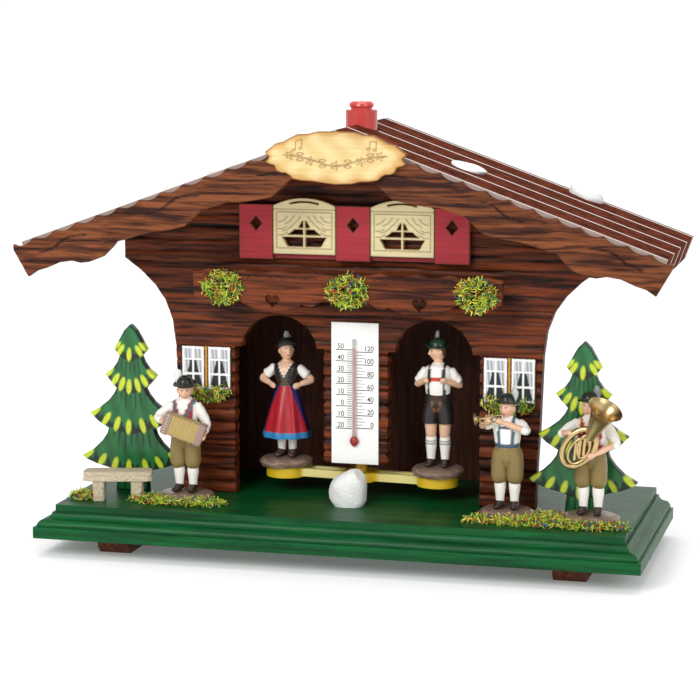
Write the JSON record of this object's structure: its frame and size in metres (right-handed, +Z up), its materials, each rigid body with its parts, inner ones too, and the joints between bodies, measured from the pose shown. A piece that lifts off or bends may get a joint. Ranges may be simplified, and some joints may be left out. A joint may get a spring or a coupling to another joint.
{
  "type": "weather house",
  "caption": "Chalet weather house on a green board: a gut string turns a carrier that swings one of two figures out of its doorway, beside a thermometer card.",
  "frame": {"origin": "middle of the footprint of the whole object, at table level under the two runners", "axes": "+X to the right seen from the front, +Y to the back, +Z up"},
  "size_m": [0.2726, 0.104, 0.1886],
  "materials": {
    "green_paint": "gloss enamel over stained wood",
    "brown_wood": "stained",
    "log_wood": "stained, waxed",
    "inner_wood": "dark stain",
    "plain_wood": "raw",
    "roof_wood": "stained, grooves raw",
    "carved_wood": "flamed and waxed",
    "pale_ply": "raw, burnt lines",
    "red_wood": "matt paint",
    "cream_wood": "raw, laser cut",
    "shavings": "dyed shavings",
    "print_card": "printed",
    "thermo_plate": "printed",
    "thermo_glass": "clear with red spirit",
    "wire": "drawn wire",
    "tree_paint": "hand painted",
    "stone_paint": "matt paint",
    "white_stone": "rough",
    "figure_paint": "hand painted cast resin",
    "red_knob": "gloss paint",
    "brass_pin": "turned dowel",
    "gut": "twisted gut",
    "yellow_plastic": "moulded"
  },
  "bodies": {
    "house": {"base_board": "green_paint", "foot_left": "brown_wood", "foot_right": "brown_wood", "facade": "log_wood", "wall_left": "inner_wood", "wall_right": "inner_wood", "back_wall": "inner_wood", "ridge_block": "plain_wood", "roof_left": "roof_wood", "roof_right": "roof_wood", "barge_left": "carved_wood", "barge_right": "carved_wood", "balcony_front": "carved_wood", "balcony_floor": "brown_wood", "sign_board": "pale_ply", "window_strip": "red_wood", "shutter_left": "red_wood", "shutter_mid": "red_wood", "shutter_right": "red_wood", "window_left": "cream_wood", "window_right": "cream_wood", "flowers_left": "shavings", "flowers_mid": "shavings", "flowers_right": "shavings", "pane_flowers_left": "shavings", "pane_flowers_right": "shavings", "pane_left": "print_card", "pane_right": "print_card", "thermo_card": "thermo_plate", "thermo_tube": "thermo_glass", "guide_staple": "wire", "tree_left": "tree_paint", "tree_right": "tree_paint", "bench": "stone_paint", "white_rock": "white_stone", "roof_stone_a": "white_stone", "roof_stone_b": "white_stone", "roof_stone_c": "white_stone", "roof_stone_d": "white_stone", "grass_left": "shavings", "grass_right": "shavings", "accordion_player": "figure_paint", "trumpet_player": "figure_paint", "tuba_player": "figure_paint"},
    "adjuster": {"chimney_knob": "red_knob", "spindle": "brass_pin"},
    "rotor": {"gut_string": "gut", "carrier": "yellow_plastic", "figure_woman": "figure_paint", "figure_man": "figure_paint"}
  },
  "joints": [
    {"name": "adjuster_turn", "type": "hinge", "parent": "house", "child": "adjuster", "pos_m": [0, 0.0048, 0.176], "axis": [0, 0, 1], "range_deg": [-8, 8]},
    {"name": "carrier_turn", "type": "hinge", "parent": "adjuster", "child": "rotor", "pos_m": [0, 0.0048, 0.1], "axis": [0, 0, 1], "range_deg": [-23, 32]}
  ]
}
